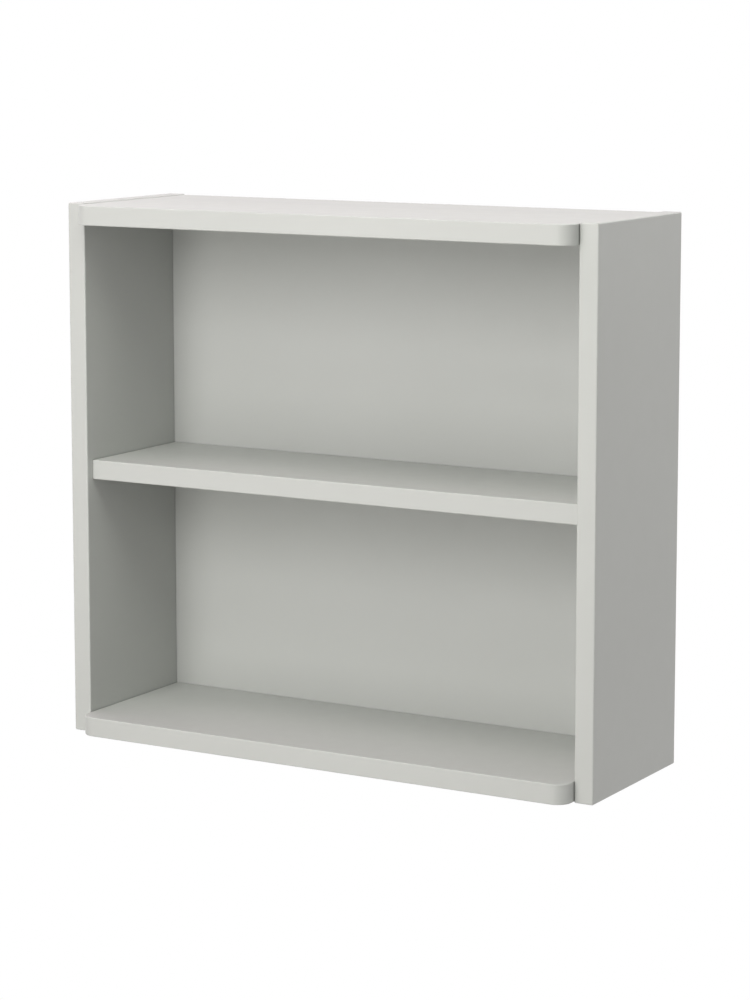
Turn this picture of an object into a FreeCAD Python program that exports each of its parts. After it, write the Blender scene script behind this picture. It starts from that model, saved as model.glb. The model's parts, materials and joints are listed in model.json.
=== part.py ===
import FreeCAD, Part
import os

import Sketcher
from FreeCAD import Rotation, Vector

# An open wall shelf in lacquered board: two side panels, a top and a bottom board that stand out in
# front of them, a middle shelf, a back panel let into grooves and a rail that hangs on two wall screws.
# Millimetres. X runs to the right, Y towards the wall and Z up. The wall is the plane Y = 0, and the
# origin lies on it, midway between the entry holes of the two keyholes.

SIZES = (
    # Side panels
    ("overall_width", "600", "across the outer faces of the side panels"),
    ("side_height", "550", "height of a side panel"),
    ("side_depth", "185", "from the wall to the front edge of a side panel"),
    ("side_thickness", "20", "thickness of a side panel"),
    ("side_edge_round", "1.5", "rounding of a side panel's edges"),
    # Top and bottom boards
    ("board_thickness", "20", "thickness of the top and bottom boards"),
    ("board_overhang", "20", "how far these boards stand out in front of the side panels"),
    ("board_step", "1", "how far a side panel stands past the outer faces of these boards"),
    ("corner_radius", "15", "radius of these boards' front corners, seen from above"),
    ("board_edge_round", "1", "rounding of the edges of the boards and the shelf"),
    # Middle shelf
    ("shelf_thickness", "20", "thickness of the middle shelf"),
    ("shelf_height", "265", "from the foot of the side panels to the underside of the shelf"),
    ("shelf_setback", "9.5", "from the front edge of a side panel back to the front of the shelf"),
    ("shelf_clearance", "0.3", "between the shelf and the back panel"),
    # Back panel and its grooves
    ("back_thickness", "5", "thickness of the back panel"),
    ("back_inset", "20", "from the wall to the back panel"),
    ("groove_depth", "6", "depth of the grooves that hold the back panel"),
    ("groove_clearance", "0.15", "between the back panel and each wall of a groove"),
    ("groove_end_play", "0.5", "between the back panel's edge and the floor of a groove"),
    # Rail that carries the shelf
    ("rail_height", "80", "height of the hanging rail"),
    ("rail_clearance", "0.3", "between the rail and the back panel"),
    # Keyhole plates
    ("hanger_margin", "80", "from a side panel's inner face to the axis of a keyhole plate"),
    ("plate_width", "20", "width of a keyhole plate"),
    ("plate_height", "60", "height of a keyhole plate"),
    ("plate_thickness", "2", "thickness of a keyhole plate"),
    ("plate_clearance", "0.2", "between a plate and the edge of its recess"),
    ("keyhole_diameter", "10", "entry hole of a keyhole"),
    ("keyhole_slot_width", "5", "width of a keyhole's slot"),
    ("keyhole_rise", "10", "from the centre of the entry hole up to the end of the slot"),
    ("head_pocket_width", "13", "pocket behind a keyhole for the head of the wall screw"),
    ("head_pocket_floor", "8", "board left in front of that pocket"),
    # Screws of the keyhole plates
    ("plate_screw_margin", "8", "from the end of a plate to the axis of its screw"),
    ("plate_screw_diameter", "3.5", "shank of a plate screw"),
    ("plate_screw_head", "7", "countersunk head of a plate screw"),
    ("plate_screw_cover", "4", "board left in front of the point of a plate screw"),
    ("plate_screw_end_play", "1", "between that point and the floor of its hole"),
    ("plate_screw_clearance", "0.05", "between a plate screw and its holes"),
    ("plate_screw_recess", "0.9", "width of the cross recess in a plate screw"),
    # Where the joints lie along the depth
    ("fixing_margin", "32", "from the front edge of a side panel, and from the back panel, to a cam"),
    # Dowels
    ("dowel_diameter", "8", "diameter of a dowel"),
    ("dowel_in_side", "10", "length of a dowel inside a side panel"),
    ("dowel_in_board", "20", "length of a dowel inside a board or the rail"),
    ("dowel_chamfer", "1", "chamfer at a dowel's ends"),
    ("dowel_clearance", "0.1", "between a dowel and the wall of its hole"),
    ("dowel_end_play", "0.7", "between a dowel's end and the floor of its hole"),
    ("rail_dowel_margin", "20", "from the rail's upper and lower edges to its dowels"),
    # Cam bolts
    ("bolt_thread_diameter", "6", "part of a cam bolt that is screwed into a side panel"),
    ("bolt_in_side", "11", "length of that part"),
    ("bolt_hole_clearance", "0.05", "between that part and the wall of its hole"),
    ("bolt_end_play", "0.8", "between a bolt's end and the floor of its hole"),
    ("bolt_shank_diameter", "7", "part of a cam bolt inside a board"),
    ("bolt_bore_clearance", "0.25", "between that part and the wall of its bore"),
    ("bolt_neck_diameter", "3.5", "neck of a cam bolt"),
    ("bolt_head_diameter", "6", "ball head of a cam bolt"),
    ("bolt_neck_reach", "1.5", "how far the neck comes out of the cam before the shank begins"),
    ("bolt_chamfer", "1", "chamfer at a bolt's threaded end"),
    # Cams
    ("cam_diameter", "15", "outside of a cam"),
    ("cam_distance", "24", "from the end of a board to the axis of its cams"),
    ("cam_recess", "0.3", "how far a cam lies inside the underside of its board"),
    ("cam_roof", "0.5", "metal above the ball head inside a cam"),
    ("cam_clearance", "0.08", "between a cam and the wall of its bore"),
    ("cam_end_play", "0.2", "between a cam and the floor of its bore"),
    ("cam_play", "0.3", "between a cam and the bolt inside it"),
    ("cam_chamfer", "0.5", "chamfer around a cam's driver face"),
    ("cam_cross_length", "8", "length of the cross recess in a cam's driver face"),
    ("cam_cross_width", "1.6", "width of that recess"),
    ("cam_cross_depth", "2.5", "depth of that recess"),
    ("cam_mark_radius", "1.3", "size of the pointer in a cam's driver face"),
    ("cam_mark_depth", "0.4", "depth of that pointer"),
    ("cam_mark_margin", "0.3", "from the point of that pointer to the chamfer"),
)

doc = FreeCAD.newDocument("WallShelf")
sheet = doc.addObject("Spreadsheet::Sheet", "Sizes")
for row, (alias, size, meaning) in enumerate(SIZES, start=1):
    sheet.set(f"A{row}", meaning)
    sheet.set(f"B{row}", size)
    sheet.setAlias(f"B{row}", alias)
doc.recompute()

# Measures worked out from the sheet, as expressions.
INNER_WIDTH = "(Sizes.overall_width - 2 * Sizes.side_thickness)"
SIDE_TOP = "(Sizes.keyhole_rise / 2 + Sizes.rail_height / 2 + Sizes.board_thickness + Sizes.board_step)"
SIDE_FOOT = f"({SIDE_TOP} - Sizes.side_height)"
TOP_UNDERSIDE = f"({SIDE_TOP} - Sizes.board_step - Sizes.board_thickness)"
SHELF_UNDERSIDE = f"({SIDE_FOOT} + Sizes.shelf_height)"
BOTTOM_UNDERSIDE = f"({SIDE_FOOT} + Sizes.board_step)"
BACK_FACE = "(Sizes.back_inset + Sizes.back_thickness)"
GROOVE_WIDTH = "(Sizes.back_thickness + 2 * Sizes.groove_clearance)"
GROOVE_FRONT = f"(-{BACK_FACE} - Sizes.groove_clearance)"
GROOVE_LOW = f"({BOTTOM_UNDERSIDE} + Sizes.board_thickness - Sizes.groove_depth)"
GROOVE_HIGH = f"({TOP_UNDERSIDE} + Sizes.groove_depth)"
RAIL_THICKNESS = "(Sizes.back_inset - Sizes.rail_clearance)"
RAIL_FOOT = f"({TOP_UNDERSIDE} - Sizes.rail_height)"
PLATE_CENTRE = "(Sizes.keyhole_rise / 2)"
PLATE_SCREW_REACH = "(Sizes.plate_height / 2 - Sizes.plate_screw_margin)"
HANGER_X = f"({INNER_WIDTH} / 2 - Sizes.hanger_margin)"
DOWEL_HOLE = "(Sizes.dowel_diameter + 2 * Sizes.dowel_clearance)"
BOLT_HOLE = "(Sizes.bolt_thread_diameter + 2 * Sizes.bolt_hole_clearance)"
BOLT_BORE = "(Sizes.bolt_shank_diameter + 2 * Sizes.bolt_bore_clearance)"
CAM_X = f"({INNER_WIDTH} / 2 - Sizes.cam_distance)"

# The boards between the sides: name, underside and thickness.
BOARDS = (
    ("top", TOP_UNDERSIDE, "Sizes.board_thickness"),
    ("middle", SHELF_UNDERSIDE, "Sizes.shelf_thickness"),
    ("bottom", BOTTOM_UNDERSIDE, "Sizes.board_thickness"),
)

# Each end of a board has four fixings in a row, cam, dowel, dowel and cam, at these shares of their span.
CAM_SHARES = {"front": "0", "rear": "1"}
DOWEL_SHARES = ("1 / 3", "2 / 3")

# The two ends of the shelf: name and sense along X.
ENDS = {"left": -1, "right": 1}

ALONG_X = Rotation(Vector(0, 1, 0), 90)
AGAINST_X = Rotation(Vector(0, 1, 0), -90)
AGAINST_Y = Rotation(Vector(1, 0, 0), 90)
HALF_TURN = Rotation(Vector(0, 0, 1), 180)

# A cam turns half a turn, in degrees, from locked to open.
CAM_TURN = "180"

# Edges are told apart by their extents, to within this.
NEAR = 1e-6


def number(expression):
    """The present value of an expression."""
    return float(sheet.evalExpression(expression))


def fixing_y(share):
    """Where a fixing lies in depth, from the front cam at a share of 0 to the rear cam at 1."""
    span = f"(Sizes.side_depth - {BACK_FACE} - 2 * Sizes.fixing_margin)"
    return f"(Sizes.fixing_margin - Sizes.side_depth + {span} * {share})"


def place(piece, x="0", y="0", z="0", turn=None):
    """Turn an object and bind its position to expressions."""
    if turn is not None:
        piece.Placement.Rotation = turn
    for axis, expression in zip("xyz", (x, y, z)):
        piece.setExpression(f"Placement.Base.{axis}", expression)


def new_sketch(body, role, offset="0"):
    """A sketch on one of the body's own origin planes, moved along the plane's normal."""
    plane = next(feature for feature in body.Origin.OriginFeatures if feature.Role == role)
    sketch = body.newObject("Sketcher::SketchObject", "Sketch")
    sketch.AttachmentSupport = [(plane, "")]
    sketch.MapMode = "FlatFace"
    sketch.setExpression("AttachmentOffset.Base.z", offset)
    return sketch


def dimension(sketch, kind, *references, bound_to):
    """A dimension of a sketch, bound to an expression."""
    constraint = Sketcher.Constraint(kind, *references, number(bound_to))
    index = sketch.addConstraint(constraint)
    sketch.setExpression(f"Constraints[{index}]", bound_to)


def add_rectangle(sketch, left, low, width, height):
    """A rectangle from its left low corner."""
    x, y = number(left), number(low)
    across, up = Vector(number(width), 0), Vector(0, number(height))
    first = Vector(x, y)
    corners = (first, first + across, first + across + up, first + up)
    lines = []
    for corner, following in zip(corners, corners[1:] + corners[:1]):
        lines.append(sketch.addGeometry(Part.LineSegment(corner, following), False))
    for line, following in zip(lines, lines[1:] + lines[:1]):
        sketch.addConstraint(Sketcher.Constraint("Coincident", line, 2, following, 1))
    for line, direction in zip(lines, ("Horizontal", "Vertical", "Horizontal", "Vertical")):
        sketch.addConstraint(Sketcher.Constraint(direction, line))
    dimension(sketch, "DistanceX", -1, 1, lines[0], 1, bound_to=left)
    dimension(sketch, "DistanceY", -1, 1, lines[0], 1, bound_to=low)
    dimension(sketch, "DistanceX", lines[0], 1, lines[0], 2, bound_to=width)
    dimension(sketch, "DistanceY", lines[1], 1, lines[1], 2, bound_to=height)


def add_circle(sketch, x, y, diameter):
    """A circle at a centre."""
    centre = Vector(number(x), number(y))
    circle = sketch.addGeometry(Part.Circle(centre, Vector(0, 0, 1), number(diameter) / 2), False)
    dimension(sketch, "DistanceX", -1, 1, circle, 3, bound_to=x)
    dimension(sketch, "DistanceY", -1, 1, circle, 3, bound_to=y)
    dimension(sketch, "Diameter", circle, bound_to=diameter)


def add_upright_slot(sketch, x, low, high, radius):
    """A slot with round ends, given by the two centres of its ends."""
    bottom, top = Vector(number(x), number(low)), Vector(number(x), number(high))
    across = Vector(number(radius), 0)
    over = Vector(0, number(radius))
    lower_arc = sketch.addGeometry(Part.Arc(bottom - across, bottom - over, bottom + across), False)
    right_line = sketch.addGeometry(Part.LineSegment(bottom + across, top + across), False)
    upper_arc = sketch.addGeometry(Part.Arc(top + across, top + over, top - across), False)
    left_line = sketch.addGeometry(Part.LineSegment(top - across, bottom - across), False)
    outline = (lower_arc, right_line, upper_arc, left_line)
    for curve, following in zip(outline, outline[1:] + outline[:1]):
        sketch.addConstraint(Sketcher.Constraint("Tangent", curve, 2, following, 1))
    for arc, level in ((lower_arc, low), (upper_arc, high)):
        dimension(sketch, "DistanceX", -1, 1, arc, 3, bound_to=x)
        dimension(sketch, "DistanceY", -1, 1, arc, 3, bound_to=level)
        dimension(sketch, "Radius", arc, bound_to=radius)


def pad(body, sketch, length, flipped=False):
    """Raise a sketch into a solid, along its normal unless it is flipped."""
    feature = body.newObject("PartDesign::Pad", "Pad")
    feature.Profile = sketch
    feature.Reversed = flipped
    feature.setExpression("Length", length)
    doc.recompute()


def pocket(body, sketch, depth, flipped=False):
    """Cut a sketch into the solid, against its normal unless it is flipped."""
    volume_before = body.Shape.Volume
    feature = body.newObject("PartDesign::Pocket", "Pocket")
    feature.Profile = sketch
    feature.Reversed = flipped
    feature.setExpression("Length", depth)
    doc.recompute()
    if body.Shape.Volume >= volume_before:
        raise RuntimeError(f"{feature.Name} of {body.Label} cuts nothing")


def round_edges(body, radius, chosen):
    """Round those edges of the body that the given test picks."""
    base = body.Tip
    names = [f"Edge{i}" for i, edge in enumerate(base.Shape.Edges, start=1) if chosen(edge)]
    feature = body.newObject("PartDesign::Fillet", "Fillet")
    feature.Base = (base, names)
    feature.setExpression("Radius", radius)
    doc.recompute()


def bevel_edges(body, size, chosen):
    """Chamfer those edges of the body that the given test picks."""
    base = body.Tip
    names = [f"Edge{i}" for i, edge in enumerate(base.Shape.Edges, start=1) if chosen(edge)]
    feature = body.newObject("PartDesign::Chamfer", "Chamfer")
    feature.Base = (base, names)
    feature.setExpression("Size", size)
    doc.recompute()


def primitive(body, kind, turn=None, at=("0", "0", "0"), **measures):
    """A solid added to the body or cut from it, with its measures bound to expressions."""
    feature = body.newObject(f"PartDesign::{kind}", kind)
    place(feature, *at, turn=turn)
    for name, expression in measures.items():
        feature.setExpression(name, expression)
    doc.recompute()


def is_level(edge):
    """An edge that lies in a horizontal plane."""
    return edge.BoundBox.ZLength < NEAR


def is_upright(edge):
    """A straight edge along Z."""
    return edge.BoundBox.XLength < NEAR and edge.BoundBox.YLength < NEAR


def side_panel(end):
    """An upright panel: its groove, bolt holes and dowel holes are cut from the inner face, at X = 0."""
    sense = ENDS[end]
    body = doc.addObject("PartDesign::Body", f"{end}_side_panel")
    place(body, x=f"{sense} * {INNER_WIDTH} / 2", z=SIDE_FOOT)
    outline = new_sketch(body, "YZ_Plane")
    add_rectangle(outline, "-Sizes.side_depth", "0", "Sizes.side_depth", "Sizes.side_height")
    pad(body, outline, "Sizes.side_thickness", flipped=sense < 0)
    round_edges(body, "Sizes.side_edge_round", lambda edge: True)

    groove = new_sketch(body, "YZ_Plane")
    add_rectangle(
        groove, GROOVE_FRONT, f"{GROOVE_LOW} - {SIDE_FOOT}", GROOVE_WIDTH, f"{GROOVE_HIGH} - {GROOVE_LOW}"
    )
    pocket(body, groove, "Sizes.groove_depth", flipped=sense > 0)

    bolt_holes = new_sketch(body, "YZ_Plane")
    dowel_holes = new_sketch(body, "YZ_Plane")
    for _, underside, thickness in BOARDS:
        level = f"{underside} + {thickness} / 2 - {SIDE_FOOT}"
        for share in CAM_SHARES.values():
            add_circle(bolt_holes, fixing_y(share), level, BOLT_HOLE)
        for share in DOWEL_SHARES:
            add_circle(dowel_holes, fixing_y(share), level, DOWEL_HOLE)
    for level in rail_dowel_levels():
        add_circle(dowel_holes, f"-{RAIL_THICKNESS} / 2", f"{level} - {SIDE_FOOT}", DOWEL_HOLE)
    pocket(body, bolt_holes, "Sizes.bolt_in_side + Sizes.bolt_end_play", flipped=sense > 0)
    pocket(body, dowel_holes, "Sizes.dowel_in_side + Sizes.dowel_end_play", flipped=sense > 0)
    return body


def bore_board(body, thickness):
    """Cut the cam bores into a board's underside, and the bolt and dowel bores into its ends."""
    cam_bores = new_sketch(body, "XY_Plane")
    for sense in ENDS.values():
        for share in CAM_SHARES.values():
            bore = "Sizes.cam_diameter + 2 * Sizes.cam_clearance"
            add_circle(cam_bores, f"{sense} * {CAM_X}", fixing_y(share), bore)
    depth = f"Sizes.cam_recess + {cam_height(thickness)} + Sizes.cam_end_play"
    pocket(body, cam_bores, depth, flipped=True)
    for sense in ENDS.values():
        end_face = f"{sense} * {INNER_WIDTH} / 2"
        bolt_bores = new_sketch(body, "YZ_Plane", end_face)
        for share in CAM_SHARES.values():
            add_circle(bolt_bores, fixing_y(share), f"{thickness} / 2", BOLT_BORE)
        pocket(body, bolt_bores, "Sizes.cam_distance", flipped=sense < 0)
        dowel_holes = new_sketch(body, "YZ_Plane", end_face)
        for share in DOWEL_SHARES:
            add_circle(dowel_holes, fixing_y(share), f"{thickness} / 2", DOWEL_HOLE)
        pocket(body, dowel_holes, "Sizes.dowel_in_board + Sizes.dowel_end_play", flipped=sense < 0)


def outer_board(name, underside, groove_at, groove_flipped):
    """The top or bottom board: round front corners, and a groove for the back panel on its inner face."""
    body = doc.addObject("PartDesign::Body", f"{name}_board")
    place(body, z=underside)
    outline = new_sketch(body, "XY_Plane")
    depth = "(Sizes.side_depth + Sizes.board_overhang)"
    add_rectangle(outline, f"-{INNER_WIDTH} / 2", f"-{depth}", INNER_WIDTH, depth)
    pad(body, outline, "Sizes.board_thickness")
    front = -number(depth)
    round_edges(
        body, "Sizes.corner_radius", lambda edge: is_upright(edge) and edge.BoundBox.YMax < front + NEAR
    )
    round_edges(body, "Sizes.board_edge_round", is_level)
    groove = new_sketch(body, "XY_Plane", groove_at)
    add_rectangle(groove, f"-{INNER_WIDTH} / 2", GROOVE_FRONT, INNER_WIDTH, GROOVE_WIDTH)
    pocket(body, groove, "Sizes.groove_depth", flipped=groove_flipped)
    bore_board(body, "Sizes.board_thickness")
    return body


def middle_shelf():
    """The shelf: its edges are rounded all but at the back, where it meets the back panel."""
    body = doc.addObject("PartDesign::Body", "middle_shelf")
    place(body, z=SHELF_UNDERSIDE)
    outline = new_sketch(body, "XY_Plane")
    front = "(Sizes.shelf_setback - Sizes.side_depth)"
    rear = f"(-{BACK_FACE} - Sizes.shelf_clearance)"
    add_rectangle(outline, f"-{INNER_WIDTH} / 2", front, INNER_WIDTH, f"{rear} - {front}")
    pad(body, outline, "Sizes.shelf_thickness")
    rear_edge = number(rear)
    round_edges(
        body,
        "Sizes.board_edge_round",
        lambda edge: is_level(edge) and edge.BoundBox.YMin < rear_edge - NEAR,
    )
    bore_board(body, "Sizes.shelf_thickness")
    return body


def back_panel():
    """A thin sheet that reaches into the grooves of the side panels and of the top and bottom boards."""
    body = doc.addObject("PartDesign::Body", "back_panel")
    place(body, y="-Sizes.back_inset")
    outline = new_sketch(body, "XZ_Plane")
    reach = "(Sizes.groove_depth - Sizes.groove_end_play)"
    low = f"({GROOVE_LOW} + Sizes.groove_end_play)"
    high = f"({GROOVE_HIGH} - Sizes.groove_end_play)"
    width = f"({INNER_WIDTH} + 2 * {reach})"
    add_rectangle(outline, f"-{width} / 2", low, width, f"{high} - {low}")
    pad(body, outline, "Sizes.back_thickness")
    return body


def rail_dowel_levels():
    """Heights of the two dowels at each end of the hanging rail."""
    return (
        f"({RAIL_FOOT} + Sizes.rail_dowel_margin)",
        f"({TOP_UNDERSIDE} - Sizes.rail_dowel_margin)",
    )


def plate_screw_levels():
    """Heights of the two screws of a keyhole plate."""
    return (f"({PLATE_CENTRE} - {PLATE_SCREW_REACH})", f"({PLATE_CENTRE} + {PLATE_SCREW_REACH})")


def add_plate_outline(sketch, x, margin):
    """The outline of a keyhole plate, grown by a margin."""
    radius = f"(Sizes.plate_width / 2 + {margin})"
    straight = "(Sizes.plate_height / 2 - Sizes.plate_width / 2)"
    add_upright_slot(sketch, x, f"{PLATE_CENTRE} - {straight}", f"{PLATE_CENTRE} + {straight}", radius)


def hanging_rail():
    """The rail: recesses for the keyhole plates, pockets for the wall screws' heads, and dowel holes."""
    body = doc.addObject("PartDesign::Body", "hanging_rail")
    place(body)
    outline = new_sketch(body, "XZ_Plane")
    add_rectangle(outline, f"-{INNER_WIDTH} / 2", RAIL_FOOT, INNER_WIDTH, "Sizes.rail_height")
    pad(body, outline, RAIL_THICKNESS)

    recesses = new_sketch(body, "XZ_Plane")
    head_pockets = new_sketch(body, "XZ_Plane")
    screw_holes = new_sketch(body, "XZ_Plane")
    for sense in ENDS.values():
        x = f"{sense} * {HANGER_X}"
        add_plate_outline(recesses, x, "Sizes.plate_clearance")
        add_upright_slot(head_pockets, x, "0", "Sizes.keyhole_rise", "Sizes.head_pocket_width / 2")
        for level in plate_screw_levels():
            hole = "Sizes.plate_screw_diameter + 2 * Sizes.plate_screw_clearance"
            add_circle(screw_holes, x, level, hole)
    pocket(body, recesses, "Sizes.plate_thickness", flipped=True)
    pocket(body, head_pockets, f"{RAIL_THICKNESS} - Sizes.head_pocket_floor", flipped=True)
    screw_depth = f"{RAIL_THICKNESS} - Sizes.plate_screw_cover + Sizes.plate_screw_end_play"
    pocket(body, screw_holes, screw_depth, flipped=True)

    for sense in ENDS.values():
        dowel_holes = new_sketch(body, "YZ_Plane", f"{sense} * {INNER_WIDTH} / 2")
        for level in rail_dowel_levels():
            add_circle(dowel_holes, f"-{RAIL_THICKNESS} / 2", level, DOWEL_HOLE)
        pocket(body, dowel_holes, "Sizes.dowel_in_board + Sizes.dowel_end_play", flipped=sense < 0)
    return body


def hanger_plate(end):
    """A keyhole plate, flush with the wall side of the rail, with two countersunk screw holes."""
    body = doc.addObject("PartDesign::Body", f"{end}_hanger_plate")
    place(body, x=f"{ENDS[end]} * {HANGER_X}")
    outline = new_sketch(body, "XZ_Plane")
    add_plate_outline(outline, "0", "0")
    pad(body, outline, "Sizes.plate_thickness")
    entry = new_sketch(body, "XZ_Plane")
    add_circle(entry, "0", "0", "Sizes.keyhole_diameter")
    pocket(body, entry, "Sizes.plate_thickness", flipped=True)
    slot = new_sketch(body, "XZ_Plane")
    add_upright_slot(slot, "0", "0", "Sizes.keyhole_rise", "Sizes.keyhole_slot_width / 2")
    pocket(body, slot, "Sizes.plate_thickness", flipped=True)
    hole_radius = "(Sizes.plate_screw_diameter / 2 + Sizes.plate_screw_clearance)"
    sink_radius = "(Sizes.plate_screw_head / 2 + Sizes.plate_screw_clearance)"
    for level in plate_screw_levels():
        at = ("0", "0", level)
        primitive(
            body, "SubtractiveCylinder", AGAINST_Y, at, Radius=hole_radius, Height="Sizes.plate_thickness"
        )
        primitive(
            body,
            "SubtractiveCone",
            AGAINST_Y,
            at,
            Radius1=sink_radius,
            Radius2=hole_radius,
            Height=f"{sink_radius} - {hole_radius}",
        )
    return body


def plate_screw():
    """The pattern of a plate screw: its flat head lies at Y = 0, and its point goes towards -Y."""
    body = doc.addObject("PartDesign::Body", "plate_screw_pattern")
    shank = "(Sizes.plate_screw_diameter / 2)"
    head = "(Sizes.plate_screw_head / 2)"
    length = f"({RAIL_THICKNESS} - Sizes.plate_screw_cover)"
    straight = f"({length} - Sizes.plate_screw_diameter)"
    primitive(body, "AdditiveCylinder", AGAINST_Y, Radius=shank, Height=straight)
    primitive(
        body, "AdditiveCone", AGAINST_Y, Radius1=head, Radius2=shank, Height=f"{head} - {shank}"
    )
    primitive(
        body,
        "AdditiveCone",
        AGAINST_Y,
        ("0", f"-{straight}", "0"),
        Radius1=shank,
        Radius2="0",
        Height="Sizes.plate_screw_diameter",
    )
    cut = "Sizes.plate_screw_recess"
    for across, up in (("Sizes.plate_screw_diameter", cut), (cut, "Sizes.plate_screw_diameter")):
        at = (f"-{across} / 2", f"-({head} - {shank})", f"-{up} / 2")
        primitive(body, "SubtractiveBox", None, at, Length=across, Width=f"{head} - {shank}", Height=up)
    return body


def dowel():
    """The pattern of a dowel: X = 0 is the joint, +X goes into the side panel and -X into the board."""
    body = doc.addObject("PartDesign::Body", "dowel_pattern")
    primitive(
        body,
        "AdditiveCylinder",
        ALONG_X,
        ("-Sizes.dowel_in_board", "0", "0"),
        Radius="Sizes.dowel_diameter / 2",
        Height="Sizes.dowel_in_board + Sizes.dowel_in_side",
    )
    bevel_edges(body, "Sizes.dowel_chamfer", lambda edge: edge.BoundBox.XLength < NEAR)
    return body


def cam_bolt():
    """The pattern of a cam bolt: X = 0 is the joint, +X goes into the side panel and -X to the cam."""
    body = doc.addObject("PartDesign::Body", "cam_bolt_pattern")
    thread = "Sizes.bolt_thread_diameter / 2"
    primitive(body, "AdditiveCylinder", ALONG_X, Radius=thread, Height="Sizes.bolt_in_side")
    tip = number("Sizes.bolt_in_side")
    bevel_edges(body, "Sizes.bolt_chamfer", lambda edge: edge.BoundBox.XMin > tip - NEAR)
    shank = "Sizes.bolt_shank_diameter / 2"
    shank_end = "(Sizes.cam_distance - Sizes.cam_diameter / 2 - Sizes.bolt_neck_reach)"
    primitive(body, "AdditiveCylinder", AGAINST_X, Radius=shank, Height=shank_end)
    neck = "Sizes.bolt_neck_diameter / 2"
    primitive(body, "AdditiveCylinder", AGAINST_X, Radius=neck, Height="Sizes.cam_distance")
    head = "Sizes.bolt_head_diameter / 2"
    primitive(body, "AdditiveSphere", AGAINST_X, ("-Sizes.cam_distance", "0", "0"), Radius=head)
    return body


def cam_height(thickness):
    """A cam reaches from the underside of its board to a thin roof over the bolt's head."""
    head_room = "Sizes.bolt_head_diameter / 2 + Sizes.cam_play + Sizes.cam_roof"
    return f"({thickness} / 2 - Sizes.cam_recess + {head_room})"


def cam(name, underside, thickness, end, share):
    """A locked cam. The bolt comes in along its own +X, and can leave along -X after half a turn."""
    body = doc.addObject("PartDesign::Body", name)
    turn = None if ENDS[end] > 0 else HALF_TURN
    place(body, f"{ENDS[end]} * {CAM_X}", fixing_y(share), f"{underside} + Sizes.cam_recess", turn)
    outside = "Sizes.cam_diameter / 2"
    bolt_level = f"({thickness} / 2 - Sizes.cam_recess)"
    primitive(body, "AdditiveCylinder", Radius=outside, Height=cam_height(thickness))
    bevel_edges(body, "Sizes.cam_chamfer", lambda edge: is_level(edge) and edge.BoundBox.ZMax < NEAR)

    # Room for the ball head, and a slot that lets the neck past over half a turn.
    head = "(Sizes.bolt_head_diameter / 2 + Sizes.cam_play)"
    neck = "(Sizes.bolt_neck_diameter / 2 + Sizes.cam_play)"
    centre = ("0", "0", bolt_level)
    primitive(body, "SubtractiveSphere", None, centre, Radius=head)
    primitive(
        body,
        "SubtractiveCylinder",
        None,
        ("0", "0", f"{bolt_level} - {neck}"),
        Radius="Sizes.cam_diameter",
        Height=f"2 * {neck}",
        Angle=CAM_TURN,
    )
    primitive(body, "SubtractiveCylinder", ALONG_X, centre, Radius=neck, Height="Sizes.cam_diameter")
    primitive(body, "SubtractiveCylinder", AGAINST_X, centre, Radius=head, Height="Sizes.cam_diameter")

    # Cross recess for the driver, and a pointer on the side where the bolt can leave.
    cross, cut = "Sizes.cam_cross_length", "Sizes.cam_cross_width"
    for along, across in ((cross, cut), (cut, cross)):
        at = (f"-{along} / 2", f"-{across} / 2", "0")
        depth = "Sizes.cam_cross_depth"
        primitive(body, "SubtractiveBox", None, at, Length=along, Width=across, Height=depth)
    primitive(
        body,
        "SubtractivePrism",
        HALF_TURN,
        (f"-({outside} - Sizes.cam_chamfer - Sizes.cam_mark_margin - Sizes.cam_mark_radius)", "0", "0"),
        Polygon="3",
        Circumradius="Sizes.cam_mark_radius",
        Height="Sizes.cam_mark_depth",
    )
    return body


def group(name, pattern, places):
    """One node of like pieces: a copy of the pattern at each place, given as x, y, z and a turn."""
    copies = []
    for x, y, z, turn in places:
        copy = doc.addObject("App::Link", f"{name}_copy")
        copy.LinkedObject = pattern
        place(copy, x, y, z, turn)
        copies.append(copy)
    together = doc.addObject("Part::Compound", name)
    together.Links = copies
    return together


def joint_places(ends, shares, levels):
    """Places at the ends of the boards, with the pattern's +X pointing into the side panel."""
    places = []
    for end in ends:
        turn = None if ENDS[end] > 0 else HALF_TURN
        for level in levels:
            for share in shares:
                places.append((f"{ENDS[end]} * {INNER_WIDTH} / 2", fixing_y(share), level, turn))
    return places


def rail_dowel_places():
    """Places of the dowels at the ends of the hanging rail."""
    places = []
    for sense in ENDS.values():
        turn = None if sense > 0 else HALF_TURN
        for level in rail_dowel_levels():
            places.append((f"{sense} * {INNER_WIDTH} / 2", f"-{RAIL_THICKNESS} / 2", level, turn))
    return places


def plate_screw_places():
    """Places of the screws in both keyhole plates."""
    return [
        (f"{sense} * {HANGER_X}", "0", level, None)
        for sense in ENDS.values()
        for level in plate_screw_levels()
    ]


pieces = [side_panel(end) for end in ENDS]
pieces.append(outer_board("top", TOP_UNDERSIDE, "0", True))
pieces.append(middle_shelf())
pieces.append(outer_board("bottom", BOTTOM_UNDERSIDE, "Sizes.board_thickness", False))
pieces.append(back_panel())
pieces.append(hanging_rail())
pieces += [hanger_plate(end) for end in ENDS]
pieces.append(group("hanger_plate_screws", plate_screw(), plate_screw_places()))

dowel_pattern = dowel()
for node, (_, underside, thickness) in zip(("top_board", "middle_shelf", "bottom_board"), BOARDS):
    level = f"{underside} + {thickness} / 2"
    pieces.append(group(f"{node}_dowels", dowel_pattern, joint_places(ENDS, DOWEL_SHARES, [level])))
pieces.append(group("hanging_rail_dowels", dowel_pattern, rail_dowel_places()))

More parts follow.
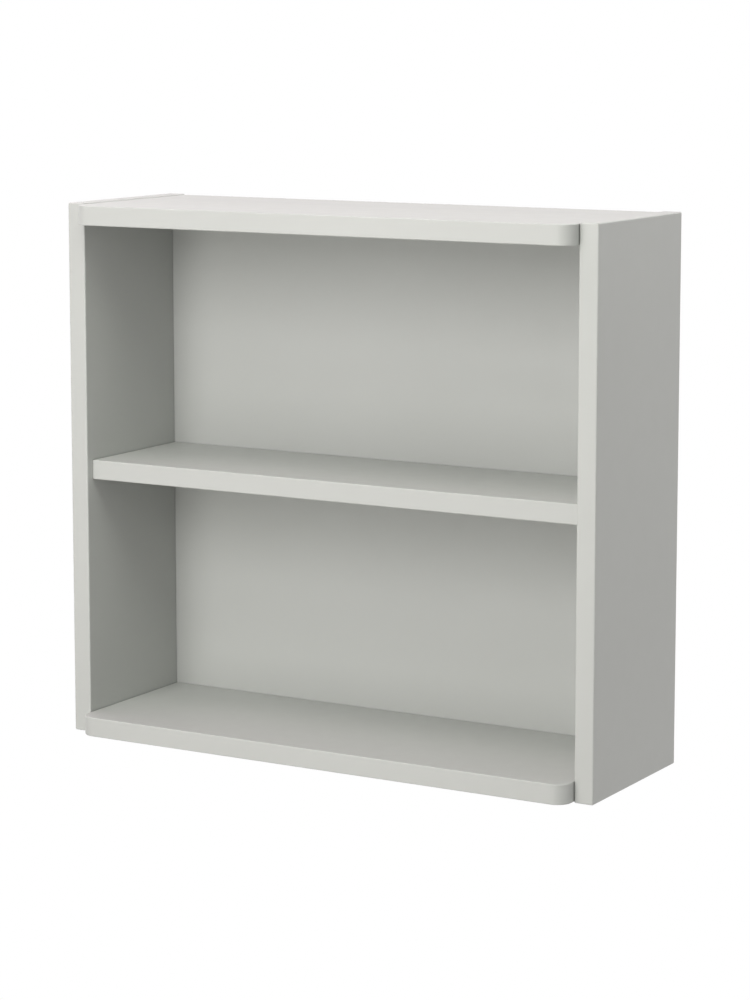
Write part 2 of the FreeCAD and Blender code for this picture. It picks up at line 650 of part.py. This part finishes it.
bolt_pattern = cam_bolt()
bolt_levels = [f"{underside} + {thickness} / 2" for _, underside, thickness in BOARDS]
for end in ENDS:
    places = joint_places([end], CAM_SHARES.values(), bolt_levels)
    pieces.append(group(f"{end}_cam_bolts", bolt_pattern, places))

for board, underside, thickness in BOARDS:
    for end in ENDS:
        for where, share in CAM_SHARES.items():
            pieces.append(cam(f"{board}_{end}_{where}_cam", underside, thickness, end, share))

doc.recompute()
for item in doc.Objects:
    if "Invalid" in item.State or "Error" in item.State:
        raise RuntimeError(f"{item.Label} failed: {item.State}")
for piece in pieces:
    if piece.Shape.isNull() or not piece.Shape.isValid():
        raise RuntimeError(f"{piece.Label} has no valid shape")

os.makedirs("parts", exist_ok=True)
for piece in pieces:
    piece.Shape.exportStep(f"parts/{piece.Label}.step")
    print(piece.Label, len(piece.Shape.Solids), "solid(s)", round(piece.Shape.Volume), "mm3")
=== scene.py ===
import json
import math

import bpy
import numpy as np
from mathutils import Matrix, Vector


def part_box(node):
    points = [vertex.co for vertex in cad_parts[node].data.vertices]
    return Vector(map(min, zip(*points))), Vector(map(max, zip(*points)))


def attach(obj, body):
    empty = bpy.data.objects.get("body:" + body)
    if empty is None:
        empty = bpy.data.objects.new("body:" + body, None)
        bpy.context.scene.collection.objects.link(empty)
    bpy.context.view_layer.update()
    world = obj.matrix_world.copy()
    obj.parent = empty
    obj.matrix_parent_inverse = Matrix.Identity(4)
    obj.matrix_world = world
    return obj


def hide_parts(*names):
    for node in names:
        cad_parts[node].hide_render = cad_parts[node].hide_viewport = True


# The looks of the open wall shelf, in metres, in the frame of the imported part: X to the right, Y to the wall,
# Z up, and the origin on the wall midway between the two keyholes.

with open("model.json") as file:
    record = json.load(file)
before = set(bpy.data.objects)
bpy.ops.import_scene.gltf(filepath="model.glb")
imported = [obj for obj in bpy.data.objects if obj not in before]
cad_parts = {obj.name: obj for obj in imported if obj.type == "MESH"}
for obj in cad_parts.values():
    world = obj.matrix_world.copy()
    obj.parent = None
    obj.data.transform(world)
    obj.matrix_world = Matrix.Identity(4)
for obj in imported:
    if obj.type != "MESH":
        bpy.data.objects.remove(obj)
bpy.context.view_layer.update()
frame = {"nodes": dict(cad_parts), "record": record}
nodes = frame["nodes"]
slots = {piece["node"]: piece["material_slot"] for piece in frame["record"]["subparts"]}

# Colours, as linear red, green and blue.
PAINT = (0.476, 0.486, 0.469)
PAINT_SHEET = (0.476, 0.486, 0.471)
ZINC_PLATE = (0.42, 0.43, 0.45)
SCREW_STEEL = (0.46, 0.45, 0.43)
CAST_ZINC = (0.43, 0.44, 0.45)
BEECH_LIGHT = (0.66, 0.47, 0.30)
BEECH_DARK = (0.47, 0.29, 0.16)
FLOOR_WHITE = (0.80, 0.80, 0.80)

# Noise lies mostly between these two values, which are stretched to the range that it is used for.
NOISE_LOW = 0.3
NOISE_HIGH = 0.7

# Lacquer: how rough it is, how far its colour and its roughness stray, and the peel and dust of its spray.
# Scales are features to a metre, and depths are in metres, here and below.
BOARD_ROUGHNESS = 0.52
SHEET_ROUGHNESS = 0.55
LACQUER_COLOUR_SCALE = 4.0
LACQUER_COLOUR_STRAY = 0.015
LACQUER_SHEEN_SCALE = 60.0
LACQUER_SHEEN_STRAY = 0.03
PEEL_SCALE = 420.0
PEEL_DEPTH = 0.000006
DUST_SCALE = 1500.0
DUST_DEPTH = 0.0000012

# Painted shade: the lacquer's colour is darkened in the seams and corners between boards, this far out and down
# to this share of its colour. The shade sets in where less of the view than the open share is free, and is full
# at the closed share.
PAINTED_SHADE_REACH = 0.002
PAINTED_SHADE_SHARE = 0.75
PAINTED_SHADE_CLOSED = 0.5
PAINTED_SHADE_OPEN = 0.9
PAINTED_SHADE_RAYS = 8

# Zinc plate: patches of lighter and darker metal, and lines rolled along Z.
PLATE_ROUGHNESS = 0.42
SCREW_ROUGHNESS = 0.38
ZINC_PATCH_SCALE = 220.0
ZINC_DARKER = 0.93
ZINC_LIGHTER = 1.05
ROLLED_SCALE = (3000.0, 3000.0, 60.0)
ROLLED_SMOOTHER = 0.06
ROLLED_ROUGHER = 0.08
ROLLED_DEPTH = 0.000003

# Cast zinc: flow marks, and the grain of the mould.
FLOW_SCALE = 350.0
FLOW_DARKER = 0.88
FLOW_LIGHTER = 1.08
CAST_SMOOTH = 0.36
CAST_ROUGH = 0.50
CAST_GRAIN_SCALE = 4000.0
CAST_GRAIN_DEPTH = 0.000012

# Beech: fibres and flecks that run along X.
BEECH_ROUGHNESS = 0.6
FIBRE_SCALE = (60.0, 1400.0, 1400.0)
FIBRE_DEPTH = 0.00003
FLECK_SCALE = (400.0, 5000.0, 5000.0)
FLECK_SHARE = 0.4

# Dowels: the joint is at nought along each one, with the side panel on one hand and the board on the other.
# The boards' dowels lie at these shares of the way from the front cam to the rear one. Columns are counts of
# points round a fitting, and rows are counts of points along it, here and below.
DOWEL_SHARES = (1.0 / 3.0, 2.0 / 3.0)
DOWEL_RADIUS = 0.004
DOWEL_IN_SIDE = 0.010
DOWEL_IN_BOARD = 0.020
DOWEL_CHAMFER = 0.001
DOWEL_FLUTES = 18
FLUTE_DEPTH = 0.0004
FLUTE_COLUMNS = 8

# Cam bolts: the joint is at nought here too, the thread in the side panel and the ball head in the cam. The
# ball's first row is at a small angle from its pole, in radians.
BOLT_IN_SIDE = 0.011
BOLT_THREAD_RADIUS = 0.003
BOLT_THREAD_DEPTH = 0.0008
BOLT_THREAD_PITCH = 0.0025
BOLT_TIP_CHAMFER = 0.001
BOLT_SHANK_RADIUS = 0.0035
BOLT_SHANK_LENGTH = 0.015
BOLT_SHANK_BEVEL = 0.0003
BOLT_NECK_RADIUS = 0.00175
BOLT_HEAD_RADIUS = 0.003
BOLT_CROSS_WIDTH = 0.0008
BOLT_CROSS_REACH = 0.0017
BOLT_CROSS_DEPTH = 0.0014
BOLT_COLUMNS = 72
BALL_ROWS = 48
BALL_START = 0.01
BOLT_THREAD_ROWS = 56

# Screws of the keyhole plates: the face of the head is at nought. The tip keeps a share of the thread's
# radius, and the innermost row of the face has a radius of its own.
SCREW_RADIUS = 0.00175
SCREW_THREAD_DEPTH = 0.0005
SCREW_THREAD_PITCH = 0.0014
SCREW_POINT = 0.0035
SCREW_HEAD_RADIUS = 0.0035
SCREW_CROSS_WIDTH = 0.0009
SCREW_CROSS_REACH = 0.0019
SCREW_CROSS_DEPTH = 0.0015
SCREW_COLUMNS = 96
SCREW_THREAD_ROWS = 100
SCREW_TIP_SHARE = 0.02
SCREW_FACE_ROWS = 48
SCREW_FACE_MIDDLE = 0.00005

# A thread's ridge takes up this share of the pitch on each hand, a recess has walls this thick, and edges
# sharper than this angle in degrees stay sharp.
RIDGE_SHARE = 0.27
RECESS_WALL = 0.0001
SHARP_ANGLE = 40.0

# The floor under the shelf: its height, half its side, and the distances over which it fades to white.
FLOOR_LEVEL = -1.75
FLOOR_HALF = 40.0
FLOOR_FADE_START = 0.8
FLOOR_FADE_END = 2.4
FLOOR_ROUGHNESS = 0.9

# Softboxes: name, bearing from straight ahead and height in degrees, distance, side, power in watts, colour.
LIGHTS = (
    ("front", 0.0, 25.0, 3.0, 1.4, 33.8, (1.0, 0.99, 0.96)),
    ("front_low", -12.0, -8.0, 1.6, 0.8, 9.1, (1.0, 0.99, 0.94)),
    ("front_close", -14.0, 30.0, 1.1, 0.5, 2.0, (1.0, 0.96, 1.0)),
    ("left_top", -80.0, 65.0, 3.0, 2.4, 39.5, (1.0, 0.81, 0.93)),
    ("right_top", 20.0, 60.0, 2.0, 1.0, 16.2, (0.98, 1.0, 0.92)),
    ("right_raised", 80.0, 25.0, 3.0, 2.4, 15.6, (0.98, 1.0, 0.98)),
    ("right", 100.0, -8.0, 3.0, 2.4, 14.0, (1.0, 0.96, 0.94)),
    ("rear_right", 155.0, 30.0, 3.0, 2.4, 46.0, (1.0, 0.97, 0.96)),
    ("rear_left", -115.0, 15.0, 3.0, 2.4, 24.0, (0.96, 1.0, 0.97)),
)
LIGHT_CENTRE = Vector((0.0, -0.1, -0.2))
AMBIENT = 0.03

# The photograph's camera: its turn to the right and tilt down in degrees, and its focal length and the shift
# of its picture as shares of the picture's height.
CAMERA_TURN = 30.1667
CAMERA_TILT = 7.8061
CAMERA_POSITION = Vector((1.48250, -2.62852, 0.25465))
CAMERA_FOCUS = 2.9482
CAMERA_SHIFT = -0.08
CAMERA_SENSOR = 36.0
CAMERA_CLIP = 200.0


class Graph:
    """A material's node tree, built a node at a time."""

    def __init__(self, tree):
        self.tree = tree

    def put(self, socket, value):
        """Link a socket into an input, or set the input to a value."""
        if isinstance(value, bpy.types.NodeSocket):
            self.tree.links.new(value, socket)
        else:
            socket.default_value = value

    def node(self, kind, inputs, **settings):
        """A new node with its inputs, by name or number."""
        made = self.tree.nodes.new(kind)
        for name, value in settings.items():
            setattr(made, name, value)
        for key, value in inputs.items():
            self.put(made.inputs[key], value)
        return made

    def coordinates(self, stretch=(1.0, 1.0, 1.0)):
        """The object's own coordinates, stretched along its axes."""
        place = self.node("ShaderNodeTexCoord", {}).outputs["Object"]
        return self.node("ShaderNodeMapping", {"Vector": place, "Scale": stretch}).outputs["Vector"]

    def noise(self, place, scale, detail=2.0):
        """Fractal noise around 0.5, with features one over scale across."""
        inputs = {"Vector": place, "Scale": scale, "Detail": detail}
        return self.node("ShaderNodeTexNoise", inputs).outputs["Fac"]

    def span(self, value, low, high, start=NOISE_LOW, end=NOISE_HIGH):
        """A value between start and end brought to low and high, and held there outside them."""
        inputs = {"Value": value, "From Min": start, "From Max": end, "To Min": low, "To Max": high}
        return self.node("ShaderNodeMapRange", inputs).outputs["Result"]

    def math(self, operation, first, second):
        """Two values put together by one operation."""
        return self.node("ShaderNodeMath", {0: first, 1: second}, operation=operation).outputs[0]

    def between(self, share, first, second):
        """A colour between two others."""
        ramp = self.node("ShaderNodeValToRGB", {"Fac": share})
        start, end = ramp.color_ramp.elements
        start.color = (*first, 1.0)
        end.color = (*second, 1.0)
        return ramp.outputs["Color"]

    def shaded(self, colour, share):
        """A colour brought down to a share of itself."""
        inputs = {"Vector": colour, "Scale": share}
        return self.node("ShaderNodeVectorMath", inputs, operation="SCALE").outputs["Vector"]

    def open_share(self, reach, rays):
        """The share of the view from a point that nothing closes off within a reach."""
        return self.node("ShaderNodeAmbientOcclusion", {"Distance": reach}, samples=rays).outputs["AO"]

    def bump(self, height, depth, below=None):
        """A bump as deep as given, in metres, laid over another one."""
        inputs = {"Height": height, "Distance": depth, "Strength": 1.0}
        if below is not None:
            inputs["Normal"] = below
        return self.node("ShaderNodeBump", inputs).outputs["Normal"]


def new_material(name):
    """An empty material with a Principled shader, as its graph and that shader."""
    material = bpy.data.materials.new(name)
    material.use_nodes = True
    graph = Graph(material.node_tree)
    shader = next(n for n in material.node_tree.nodes if n.type == "BSDF_PRINCIPLED")
    return material, graph, shader


def finish_shader(graph, shader, **sockets):
    """Link or set the shader's inputs, written with _ for a space."""
    for name, value in sockets.items():
        graph.put(shader.inputs[name.replace("_", " ")], value)


def scaled(colour, factor):
    """A colour made darker or lighter."""
    return tuple(channel * factor for channel in colour)


def satin_lacquer(name, colour, roughness):
    """Sprayed satin paint on board: an even colour that drifts a little, with painted shade that darkens it in
    the seams and corners between boards, and the fine peel and dust of the spray."""
    material, graph, shader = new_material(name)
    place = graph.coordinates()
    drift = graph.span(graph.noise(place, LACQUER_COLOUR_SCALE), 0.0, 1.0)
    darker = scaled(colour, 1.0 - LACQUER_COLOUR_STRAY)
    lighter = scaled(colour, 1.0 + LACQUER_COLOUR_STRAY)
    # Painted shade: the colour is darkened where little of the view is open within a short reach, in the seams
    # and corners between boards.
    corner_openness = graph.open_share(PAINTED_SHADE_REACH, PAINTED_SHADE_RAYS)
    painted_shade = graph.span(corner_openness, PAINTED_SHADE_SHARE, 1.0, PAINTED_SHADE_CLOSED, PAINTED_SHADE_OPEN)
    tone = graph.shaded(graph.between(drift, darker, lighter), painted_shade)
    smoother = roughness - LACQUER_SHEEN_STRAY
    rougher = roughness + LACQUER_SHEEN_STRAY
    sheen = graph.span(graph.noise(place, LACQUER_SHEEN_SCALE), smoother, rougher)
    peel = graph.bump(graph.noise(place, PEEL_SCALE, detail=1.0), PEEL_DEPTH)
    dust = graph.bump(graph.noise(place, DUST_SCALE, detail=1.0), DUST_DEPTH, peel)
    finish_shader(graph, shader, Base_Color=tone, Roughness=sheen, Normal=dust)
    return material


def zinc_plated(name, colour, roughness):
    """Bright zinc on rolled steel: faint patches of lighter and darker metal, and fine rolling lines that
    differ in sheen."""
    material, graph, shader = new_material(name)
    patches = graph.span(graph.noise(graph.coordinates(), ZINC_PATCH_SCALE, detail=3.0), 0.0, 1.0)
    tone = graph.between(patches, scaled(colour, ZINC_DARKER), scaled(colour, ZINC_LIGHTER))
    rolled = graph.noise(graph.coordinates(ROLLED_SCALE), 1.0)
    sheen = graph.span(rolled, roughness - ROLLED_SMOOTHER, roughness + ROLLED_ROUGHER)
    lines = graph.bump(rolled, ROLLED_DEPTH)
    finish_shader(graph, shader, Base_Color=tone, Roughness=sheen, Metallic=1.0, Normal=lines)
    return material


def cast_zinc(name, colour):
    """Die-cast zinc: a dull grey skin with a fine grain and soft flow marks."""
    material, graph, shader = new_material(name)
    place = graph.coordinates()
    flow = graph.noise(place, FLOW_SCALE, detail=3.0)
    darker = scaled(colour, FLOW_DARKER)
    lighter = scaled(colour, FLOW_LIGHTER)
    tone = graph.between(graph.span(flow, 0.0, 1.0), darker, lighter)
    sheen = graph.span(flow, CAST_SMOOTH, CAST_ROUGH)
    skin = graph.bump(graph.noise(place, CAST_GRAIN_SCALE), CAST_GRAIN_DEPTH)
    finish_shader(graph, shader, Base_Color=tone, Roughness=sheen, Metallic=1.0, Normal=skin)
    return material


def beech(name):
    """Turned beech with its grain along the dowel."""
    material, graph, shader = new_material(name)
    fibre = graph.noise(graph.coordinates(FIBRE_SCALE), 1.0, detail=4.0)
    flecks = graph.noise(graph.coordinates(FLECK_SCALE), 1.0)
    share = graph.math("MULTIPLY", graph.span(fibre, 0.0, 1.0), graph.span(flecks, FLECK_SHARE, 1.0))
    tone = graph.between(share, BEECH_LIGHT, BEECH_DARK)
    relief = graph.bump(fibre, FIBRE_DEPTH)
    finish_shader(graph, shader, Base_Color=tone, Roughness=BEECH_ROUGHNESS, Normal=relief)
    return material


def shelf_finishes():
    """The finishes of the shelf, by the record's material slots."""
    return {
        "lacquered_board": satin_lacquer("satin_lacquer_on_board", PAINT, BOARD_ROUGHNESS),
        "lacquered_sheet": satin_lacquer("satin_lacquer_on_sheet", PAINT_SHEET, SHEET_ROUGHNESS),
        "zinc_plated_steel": zinc_plated("zinc_plated_steel", ZINC_PLATE, PLATE_ROUGHNESS),
        "screw_steel": zinc_plated("zinc_plated_screw_steel", SCREW_STEEL, SCREW_ROUGHNESS),
        "die_cast_cam": cast_zinc("die_cast_zinc", CAST_ZINC),
        "beech_dowel": beech("beech"),
    }


def finish_nodes(finishes):
    """Give every node of the part its finish."""
    for name, node in nodes.items():
        node.data.materials.clear()
        node.data.materials.append(finishes[slots[name]])


def angles_round(count):
    """Even angles round an axis, as one row."""
    return np.linspace(0.0, 2.0 * np.pi, count, endpoint=False)[None, :]


def turned_surface(along, radius):
    """A closed surface round the X axis, as its points, its four-sided faces and its three-sided ones. Each
    row is a station along the axis and each column an angle: a point lies at its distance along the axis and
    at its radius from it, and each end row closes on its middle."""
    rows, columns = radius.shape
    along = np.broadcast_to(along, radius.shape)
    angle = angles_round(columns)
    rings = np.stack([along, radius * np.cos(angle), radius * np.sin(angle)], axis=-1).reshape(-1, 3)
    middles = [[along[0].mean(), 0.0, 0.0], [along[-1].mean(), 0.0, 0.0]]
    this = np.arange(columns)
    following = np.roll(this, -1)
    start = columns * np.arange(rows - 1)[:, None]
    upper = start + columns
    bands = np.stack([start + this, start + following, upper + following, upper + this], axis=-1)
    last = columns * (rows - 1)
    first_end = np.stack([np.full(columns, rows * columns), following, this], axis=-1)
    last_end = np.stack([np.full(columns, rows * columns + 1), last + this, last + following], axis=-1)
    return np.vstack([rings, middles]), bands.reshape(-1, 4), np.vstack([first_end, last_end])


def wood_thread(along, angle, crest, depth, pitch, start, end):
    """The radius of a coarse thread: a ridge that goes one pitch along in each turn, on a plain core, and
    that rises from the core over one pitch at both ends."""
    phase = np.mod(along / pitch - angle / (2.0 * np.pi), 1.0)
    ridge = np.clip(1.0 - np.abs(phase - 0.5) / RIDGE_SHARE, 0.0, 1.0)
    rise = np.clip(np.minimum(along - start, end - along) / pitch, 0.0, 1.0)
    return crest - depth * (1.0 - ridge * rise)


def cross_recess(radius, angle, width, reach, depth):
    """How far a driver's cross is sunk: its depth within half a width of two lines through the middle, as far
    out as its reach, and nought elsewhere."""
    aside = radius * np.minimum(np.abs(np.sin(angle)), np.abs(np.cos(angle)))
    within = np.clip((width / 2.0 - aside) / RECESS_WALL, 0.0, 1.0)
    return depth * within * np.clip((reach - radius) / RECESS_WALL, 0.0, 1.0)


def fluted_dowel():
    """A dowel along X: a round bar whose radius dips by a squared cosine at each straight flute, with cones
    at its ends."""
    angle = angles_round(DOWEL_FLUTES * FLUTE_COLUMNS)
    low, high = -DOWEL_IN_BOARD, DOWEL_IN_SIDE
    along = np.array([[low], [low + DOWEL_CHAMFER], [high - DOWEL_CHAMFER], [high]])
    outside = DOWEL_RADIUS - DOWEL_CHAMFER * np.array([[1.0], [0.0], [0.0], [1.0]])
    dip = FLUTE_DEPTH * np.cos(DOWEL_FLUTES * angle / 2.0) ** 2
    return turned_surface(along, np.minimum(outside, DOWEL_RADIUS - dip))


def cam_bolt(cam_distance):
    """A bolt along X: an arc for its ball head, with a cross sunk into it, then neck, shank and thread, whose
    tip is cut to a cone."""
    angle = angles_round(BOLT_COLUMNS)
    plain = np.ones_like(angle)
    ball_end = np.pi - np.arcsin(BOLT_NECK_RADIUS / BOLT_HEAD_RADIUS)
    spread = np.linspace(BALL_START, ball_end, BALL_ROWS)[:, None]
    ball = BOLT_HEAD_RADIUS * np.sin(spread) * plain
    cross = cross_recess(ball, angle, BOLT_CROSS_WIDTH, BOLT_CROSS_REACH, BOLT_CROSS_DEPTH)
    sunk = np.where(spread < np.pi / 2.0, cross, 0.0)
    ball_along = sunk - cam_distance - BOLT_HEAD_RADIUS * np.cos(spread)

    bevel = BOLT_SHANK_BEVEL
    rim = BOLT_SHANK_RADIUS - bevel
    shoulder = -BOLT_SHANK_LENGTH
    shank_along = np.array([[shoulder], [shoulder], [shoulder + bevel], [-bevel], [0.0]])
    shank = np.array([[BOLT_NECK_RADIUS], [rim], [BOLT_SHANK_RADIUS], [BOLT_SHANK_RADIUS], [rim]])

    thread_along = np.linspace(0.0, BOLT_IN_SIDE, BOLT_THREAD_ROWS)[:, None]
    thread = wood_thread(
        thread_along, angle, BOLT_THREAD_RADIUS, BOLT_THREAD_DEPTH, BOLT_THREAD_PITCH, 0.0, BOLT_IN_SIDE
    )
    tip = BOLT_THREAD_RADIUS - BOLT_TIP_CHAMFER + BOLT_IN_SIDE - thread_along
    along = np.vstack([ball_along, shank_along * plain, thread_along * plain])
    return turned_surface(along, np.vstack([ball, shank * plain, np.minimum(thread, tip)]))


def plate_screw(length):
    """A countersunk screw along X: a point and a thread, a cone for the head, and a flat face with a cross
    sunk into it."""
    angle = angles_round(SCREW_COLUMNS)
    plain = np.ones_like(angle)
    neck = SCREW_RADIUS - SCREW_HEAD_RADIUS
    shank_along = np.linspace(-length, neck, SCREW_THREAD_ROWS)[:, None]
    thread = wood_thread(
        shank_along, angle, SCREW_RADIUS, SCREW_THREAD_DEPTH, SCREW_THREAD_PITCH, -length, neck
    )
    taper = np.clip((shank_along + length) / SCREW_POINT, SCREW_TIP_SHARE, 1.0)
    head_along = np.array([[neck], [0.0]])
    head = np.array([[SCREW_RADIUS], [SCREW_HEAD_RADIUS]])
    face = np.linspace(SCREW_HEAD_RADIUS, SCREW_FACE_MIDDLE, SCREW_FACE_ROWS)[1:, None] * plain
    face_along = -cross_recess(face, angle, SCREW_CROSS_WIDTH, SCREW_CROSS_REACH, SCREW_CROSS_DEPTH)
    along = np.vstack([shank_along * plain, head_along * plain, face_along])
    return turned_surface(along, np.vstack([thread * taper, head * plain, face]))


def fitting(node, manner, surface, places, finishes):
    """One piece that stands for a node: the surface turned about Z and moved to each place, given as a turn
    in degrees and a position."""
    points, bands, ends = surface
    turn = np.radians([degrees for degrees, position in places])[:, None]
    shift = np.array([position for degrees, position in places])[:, None, :]
    x, y, z = points.T
    turned_x = x * np.cos(turn) - y * np.sin(turn)
    turned_y = x * np.sin(turn) + y * np.cos(turn)
    turned = np.stack([turned_x, turned_y, np.broadcast_to(z, turned_x.shape)], axis=-1)
    first_point = len(points) * np.arange(len(places))[:, None, None]
    faces = (bands + first_point).reshape(-1, 4).tolist() + (ends + first_point).reshape(-1, 3).tolist()
    mesh = bpy.data.meshes.new(f"{node}_{manner}")
    mesh.from_pydata((turned + shift).reshape(-1, 3).tolist(), [], faces)
    mesh.shade_smooth()
    mesh.set_sharp_from_angle(angle=math.radians(SHARP_ANGLE))
    mesh.materials.append(finishes[slots[node]])
    piece = bpy.data.objects.new(mesh.name, mesh)
    bpy.context.scene.collection.objects.link(piece)
    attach(piece, "carcass")
    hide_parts(node)


def middle(node):
    """The middle of a node's box."""
    low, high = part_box(node)
    return (low + high) / 2.0


def fittings(finishes):
    """The dowels, bolts and screws with their flutes and threads, at the places that the frame gives."""
    boards = {"top": "top_board", "middle": "middle_shelf", "bottom": "bottom_board"}
    turns = {"left": 180.0, "right": 0.0, "wall": 90.0}
    bolts = {"left": [], "right": []}
    dowel = fluted_dowel()
    for short, board in boards.items():
        low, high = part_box(board)
        dowels = []
        for end, joint_x in (("left", low.x), ("right", high.x)):
            front = middle(f"{short}_{end}_front_cam").y
            rear = middle(f"{short}_{end}_rear_cam").y
            level = middle(board).z
            for share in DOWEL_SHARES:
                dowels.append((turns[end], (joint_x, front + share * (rear - front), level)))
            bolts[end] += [(turns[end], (joint_x, y, level)) for y in (front, rear)]
        fitting(f"{board}_dowels", "fluted", dowel, dowels, finishes)

    board_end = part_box("top_board")[1].x
    bolt = cam_bolt(board_end - middle("top_right_front_cam").x)
    for end, places in bolts.items():
        fitting(f"{end}_cam_bolts", "threaded", bolt, places, finishes)

    low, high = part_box("hanging_rail_dowels")
    rail_y = middle("hanging_rail").y
    rail_levels = (low.z + DOWEL_RADIUS, high.z - DOWEL_RADIUS)
    ends = (("left", -board_end), ("right", board_end))
    rail_places = [(turns[end], (x, rail_y, z)) for end, x in ends for z in rail_levels]
    fitting("hanging_rail_dowels", "fluted", dowel, rail_places, finishes)

    low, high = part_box("hanger_plate_screws")
    screw_levels = (low.z + SCREW_HEAD_RADIUS, high.z - SCREW_HEAD_RADIUS)
    plates = (middle("left_hanger_plate").x, middle("right_hanger_plate").x)
    screw_places = [(turns["wall"], (x, high.y, z)) for x in plates for z in screw_levels]
    fitting("hanger_plate_screws", "threaded", plate_screw(high.y - low.y), screw_places, finishes)


def seen_directly(graph):
    """One where a ray comes from the camera, or by way of a mirror or glass, and nought elsewhere."""
    path = graph.node("ShaderNodeLightPath", {}).outputs
    first = graph.math("MAXIMUM", path["Is Camera Ray"], path["Is Glossy Ray"])
    return graph.math("MAXIMUM", first, path["Is Transmission Ray"])


def white_world():
    """A white surround, which lights the object only softly."""
    world = bpy.data.worlds.new("white_surround")
    world.use_nodes = True
    graph = Graph(world.node_tree)
    background = next(n for n in world.node_tree.nodes if n.type == "BACKGROUND")
    graph.put(background.inputs["Color"], (1.0, 1.0, 1.0, 1.0))
    graph.put(background.inputs["Strength"], graph.span(seen_directly(graph), AMBIENT, 1.0, 0.0, 1.0))
    bpy.context.scene.world = world


def white_floor():
    """A wide pale floor under the shelf, which takes its shadow and fades into the white surround."""
    half = FLOOR_HALF
    corners = ((-half, -half), (half, -half), (half, half), (-half, half))
    mesh = bpy.data.meshes.new("floor")
    mesh.from_pydata([(x, y, FLOOR_LEVEL) for x, y in corners], [], [(0, 1, 2, 3)])
    floor = bpy.data.objects.new("floor", mesh)
    bpy.context.scene.collection.objects.link(floor)
    material, graph, shader = new_material("pale_floor")
    finish_shader(graph, shader, Base_Color=(*FLOOR_WHITE, 1.0), Roughness=FLOOR_ROUGHNESS)
    level = graph.coordinates((1.0, 1.0, 0.0))
    reach = graph.node("ShaderNodeVectorMath", {0: level}, operation="LENGTH").outputs["Value"]
    far = graph.span(reach, 0.0, 1.0, FLOOR_FADE_START, FLOOR_FADE_END)
    glow = graph.node("ShaderNodeEmission", {"Color": (1.0, 1.0, 1.0, 1.0), "Strength": 1.0})
    share = graph.math("MULTIPLY", far, seen_directly(graph))
    mixed = graph.node("ShaderNodeMixShader", {0: share, 1: shader.outputs[0], 2: glow.outputs[0]})
    output = next(n for n in material.node_tree.nodes if n.type == "OUTPUT_MATERIAL")
    graph.put(output.inputs["Surface"], mixed.outputs[0])
    mesh.materials.append(material)


def aim(thing, position, target):
    """Put a lamp or the camera at a position and turn it to a target."""
    thing.location = position
    thing.rotation_mode = "QUATERNION"
    thing.rotation_quaternion = (Vector(target) - Vector(position)).to_track_quat("-Z", "Y")


def outward(bearing, height):
    """The direction at a bearing from straight ahead of the shelf and a height, in degrees."""
    turn, rise = math.radians(bearing), math.radians(height)
    return Vector((math.sin(turn) * math.cos(rise), -math.cos(turn) * math.cos(rise), math.sin(rise)))


def soft_lights():
    """Square softboxes round the shelf."""
    for name, bearing, height, distance, side, power, colour in LIGHTS:
        lamp = bpy.data.lights.new(f"light_{name}", "AREA")
        lamp.shape = "SQUARE"
        lamp.size = side
        lamp.energy = power
        lamp.color = colour
        thing = bpy.data.objects.new(lamp.name, lamp)
        bpy.context.scene.collection.objects.link(thing)
        thing.visible_camera = False
        aim(thing, LIGHT_CENTRE + distance * outward(bearing, height), LIGHT_CENTRE)


def photo_camera():
    """The camera of the photograph: to the right of the shelf and a little above its middle."""
    data = bpy.data.cameras.new("photo_camera")
    data.sensor_width = CAMERA_SENSOR
    data.lens = CAMERA_SENSOR * CAMERA_FOCUS
    data.shift_y = CAMERA_SHIFT
    data.clip_end = CAMERA_CLIP
    camera = bpy.data.objects.new("photo_camera", data)
    bpy.context.scene.collection.objects.link(camera)
    aim(camera, CAMERA_POSITION, CAMERA_POSITION - outward(CAMERA_TURN, CAMERA_TILT))
    bpy.context.scene.camera = camera


shelf_finish = shelf_finishes()
finish_nodes(shelf_finish)
fittings(shelf_finish)
white_world()
white_floor()
soft_lights()
photo_camera()
bpy.context.scene.view_settings.view_transform = "Standard"
